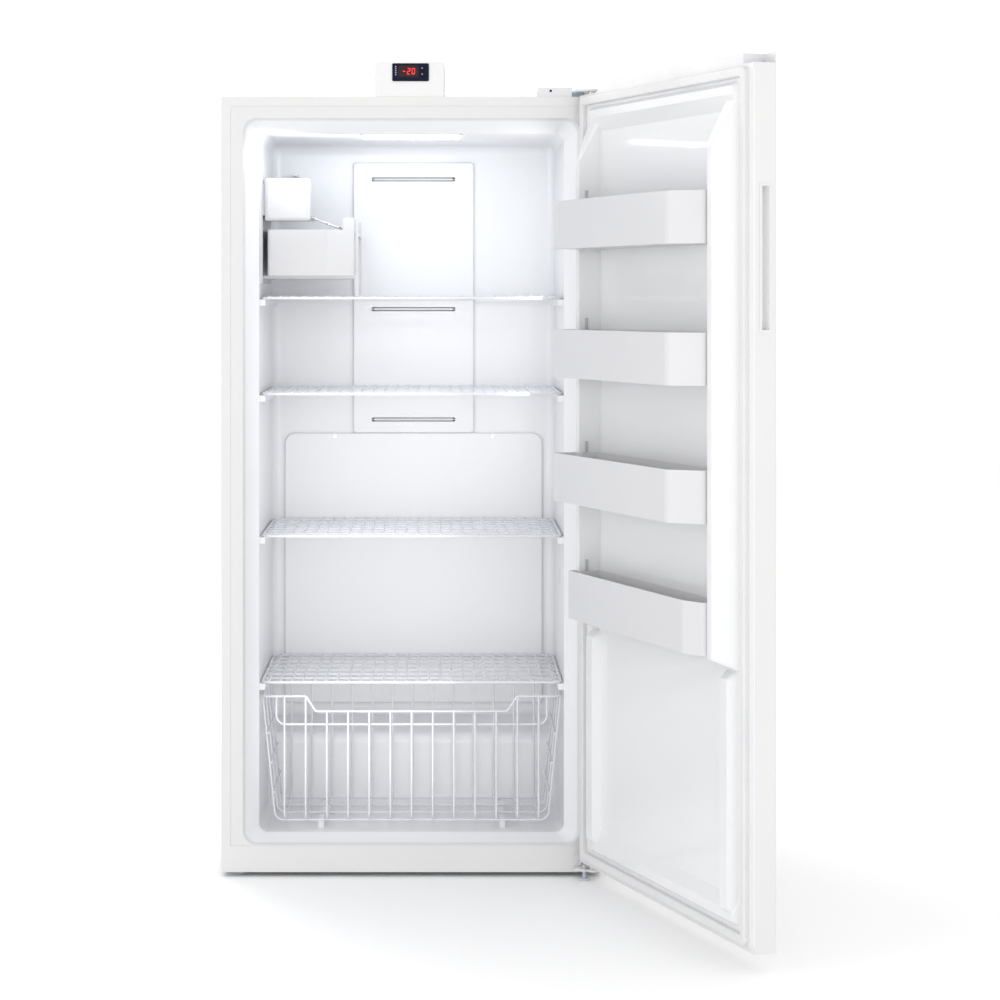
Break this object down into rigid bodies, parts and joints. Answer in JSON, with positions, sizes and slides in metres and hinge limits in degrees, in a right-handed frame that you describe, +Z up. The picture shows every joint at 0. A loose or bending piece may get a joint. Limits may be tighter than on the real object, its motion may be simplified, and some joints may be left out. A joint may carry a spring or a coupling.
{
  "type": "upright freezer",
  "caption": "Upright freezer on levelling feet, door open, with wire shelves, a slide-out wire basket, door bins, an ice maker over its bin and a controller on top.",
  "frame": {"origin": "centre of the cabinet's footprint on the floor, midway between its two sides and midway between its front and back faces", "axes": "+Z up, +Y from the front to the back, +X to the right seen from the front, which is the hinge side"},
  "size_m": [1.0995, 1.4859, 1.769],
  "materials": {
    "white_paint": "smooth enamel",
    "zinc_sheet": "zinc coated",
    "white_liner": "smooth moulded",
    "foam": "closed-cell foam",
    "lamp": "frosted",
    "white_plastic": "smooth moulded",
    "bin_plastic": "smooth moulded",
    "grey_plastic": "fine grain",
    "dark_plastic": "fine grain",
    "display_glass": "clear window over digits",
    "shim_plastic": "fine grain",
    "white_wire": "plastic coated wire",
    "fins": "bare",
    "copper": "drawn copper",
    "black_enamel": "enamel",
    "screw_steel": "plated",
    "rubber": "moulded",
    "white_rubber": "soft vinyl",
    "cast_aluminium": "cast"
  },
  "bodies": {
    "cabinet": {"outer_shell": "white_paint", "back_panel": "zinc_sheet", "base_pan": "zinc_sheet", "insulation_foam": "foam", "inner_liner": "white_liner", "lamp_lens": "lamp", "air_duct_panel": "white_liner", "evaporator_cover": "white_liner", "panel_screws": "screw_steel", "evaporator_coil": "fins", "defrost_heater": "screw_steel", "evaporator_fan_motor": "grey_plastic", "compressor": "black_enamel", "compressor_mounts": "rubber", "condenser_coil": "fins", "condenser_fan_motor": "grey_plastic", "drip_pan": "grey_plastic", "machine_cover": "zinc_sheet", "refrigerant_lines": "copper", "water_valve": "white_plastic", "fill_tube": "white_plastic", "cord_gland": "rubber", "top_hinge_bracket": "white_paint", "hinge_cover": "white_plastic", "hinge_shim": "shim_plastic", "hinge_bolts": "screw_steel", "bottom_hinge_bracket": "white_paint", "ice_maker_housing": "white_plastic", "ice_mould": "cast_aluminium", "ice_bin_rack": "white_plastic", "controller_housing": "white_plastic", "controller_bezel": "dark_plastic", "controller_display": "display_glass", "shelf_1": "white_wire", "shelf_2": "white_wire", "shelf_3": "white_wire", "shelf_4": "white_wire"},
    "door": {"door_skin": "white_paint", "door_foam": "foam", "door_liner": "white_liner", "door_gasket": "white_rubber", "door_end_caps": "white_plastic", "handle_pocket": "grey_plastic", "hinge_bushes": "white_plastic"},
    "top_bin": {"door_bin_1": "bin_plastic"},
    "upper_bin": {"door_bin_2": "bin_plastic"},
    "lower_bin": {"door_bin_3": "bin_plastic"},
    "bottom_bin": {"door_bin_4": "bin_plastic"},
    "basket": {"wire_basket": "white_wire"},
    "ice_drawer": {"ice_bin": "white_plastic"},
    "level_arm": {"shutoff_arm": "screw_steel"},
    "ejector": {"ice_ejector": "grey_plastic"},
    "cold_fan": {"evaporator_fan_blade": "dark_plastic"},
    "machine_fan": {"condenser_fan_blade": "dark_plastic"},
    "left_wheel": {"left_roller": "grey_plastic"},
    "right_wheel": {"right_roller": "grey_plastic"},
    "left_leg": {"left_foot": "grey_plastic"},
    "right_leg": {"right_foot": "grey_plastic"},
    "up_key": {"up_button": "grey_plastic"},
    "down_key": {"down_button": "grey_plastic"}
  },
  "joints": [
    {"name": "door_swing", "type": "hinge", "parent": "cabinet", "child": "door", "pos_m": [0.3925, -0.371, 0.9], "axis": [0, 0, 1], "range_deg": [-109.8, 25]},
    {"name": "top_bin_lift", "type": "slide", "parent": "door", "child": "top_bin", "axis": [0, 0, 1], "range_m": [0, 0.04]},
    {"name": "upper_bin_lift", "type": "slide", "parent": "door", "child": "upper_bin", "axis": [0, 0, 1], "range_m": [0, 0.04]},
    {"name": "lower_bin_lift", "type": "slide", "parent": "door", "child": "lower_bin", "axis": [0, 0, 1], "range_m": [0, 0.04]},
    {"name": "bottom_bin_lift", "type": "slide", "parent": "door", "child": "bottom_bin", "axis": [0, 0, 1], "range_m": [0, 0.04]},
    {"name": "basket_slide", "type": "slide", "parent": "cabinet", "child": "basket", "axis": [0, -1, 0], "range_m": [0, 0.25]},
    {"name": "ice_bin_slide", "type": "slide", "parent": "cabinet", "child": "ice_drawer", "axis": [0, -1, 0], "range_m": [0, 0.25]},
    {"name": "level_arm_lift", "type": "hinge", "parent": "cabinet", "child": "level_arm", "pos_m": [-0.232, -0.097, 1.44], "axis": [0, -1, 0], "range_deg": [0, 35]},
    {"name": "ejector_turn", "type": "hinge", "parent": "cabinet", "child": "ejector", "pos_m": [-0.28, -0.097, 1.49], "axis": [0, 1, 0], "continuous": true},
    {"name": "cold_fan_spin", "type": "hinge", "parent": "cabinet", "child": "cold_fan", "pos_m": [0, 0.2, 0.855], "axis": [0, 1, 0], "continuous": true},
    {"name": "machine_fan_spin", "type": "hinge", "parent": "cabinet", "child": "machine_fan", "pos_m": [-0.1, 0.163, 0.105], "axis": [1, 0, 0], "continuous": true},
    {"name": "left_wheel_roll", "type": "hinge", "parent": "cabinet", "child": "left_wheel", "pos_m": [-0.34, 0.292, 0.022], "axis": [1, 0, 0], "continuous": true},
    {"name": "right_wheel_roll", "type": "hinge", "parent": "cabinet", "child": "right_wheel", "pos_m": [0.34, 0.292, 0.022], "axis": [1, 0, 0], "continuous": true},
    {"name": "left_leg_turn", "type": "hinge", "parent": "cabinet", "child": "left_leg", "pos_m": [-0.374, -0.297, 0.01], "axis": [0, 0, 1], "continuous": true},
    {"name": "right_leg_turn", "type": "hinge", "parent": "cabinet", "child": "right_leg", "pos_m": [0.374, -0.369, 0.01], "axis": [0, 0, 1], "continuous": true},
    {"name": "up_key_press", "type": "slide", "parent": "cabinet", "child": "up_key", "axis": [0, 1, 0], "range_m": [0, 0.001], "stiffness_N_per_m": 300},
    {"name": "down_key_press", "type": "slide", "parent": "cabinet", "child": "down_key", "axis": [0, 1, 0], "range_m": [0, 0.001], "stiffness_N_per_m": 300}
  ]
}
